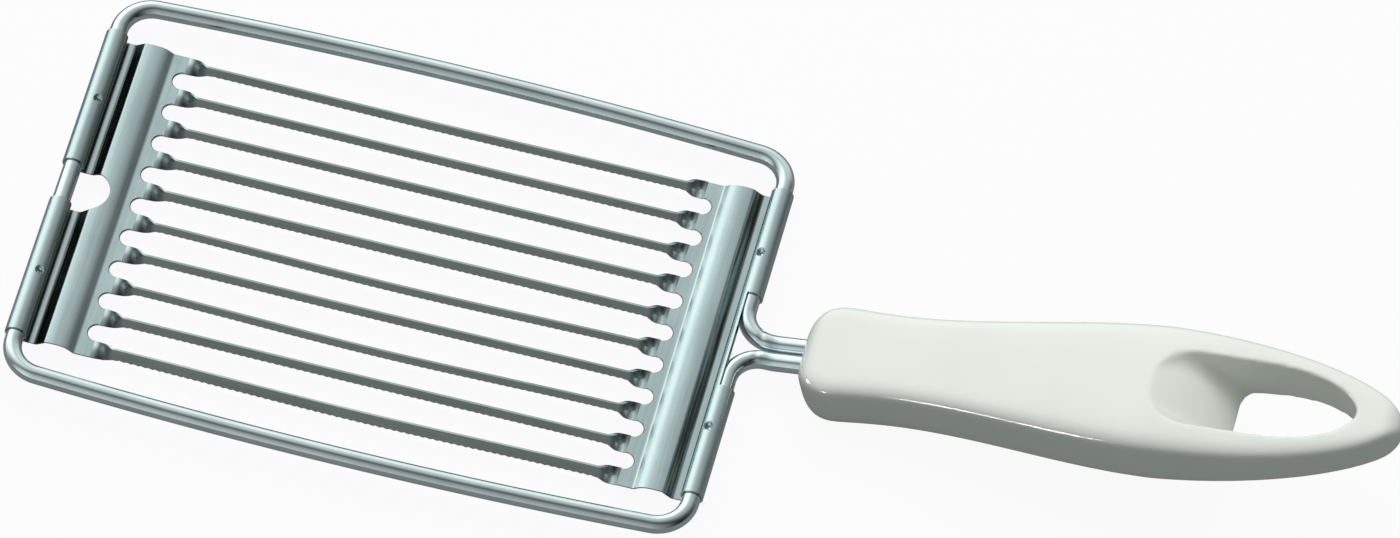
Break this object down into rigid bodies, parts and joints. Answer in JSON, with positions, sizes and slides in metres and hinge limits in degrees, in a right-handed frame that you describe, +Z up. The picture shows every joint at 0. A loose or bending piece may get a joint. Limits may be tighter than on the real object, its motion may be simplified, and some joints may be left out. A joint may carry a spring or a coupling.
{
  "type": "egg slicer",
  "caption": "Hand-held slicer: toothed steel strips twisted on edge in a chromed wire frame, on an upswept cream handle with a hanging hole.",
  "frame": {"origin": "middle of the part's bounding box at the height of its lowest point, the lower front edge of the handle, which is 1.1 mm below the blades' toothed edges", "axes": "+X from the blade plate towards the handle's tail, +Z up from the blades' toothed edges towards the top of the handle, +Y across the blades"},
  "size_m": [0.281, 0.1002, 0.0357],
  "materials": {
    "handle_plastic": "smooth moulded, warm off-white",
    "frame_chrome": "bright plated",
    "plate_steel": "satin polished stamping"
  },
  "bodies": {
    "root": {"handle": "handle_plastic", "wire_frame": "frame_chrome", "far_rail": "plate_steel", "near_rail": "plate_steel", "blade_01": "plate_steel", "blade_02": "plate_steel", "blade_03": "plate_steel", "blade_04": "plate_steel", "blade_05": "plate_steel", "blade_06": "plate_steel", "blade_07": "plate_steel", "blade_08": "plate_steel", "blade_09": "plate_steel", "blade_10": "plate_steel"}
  },
  "joints": []
}
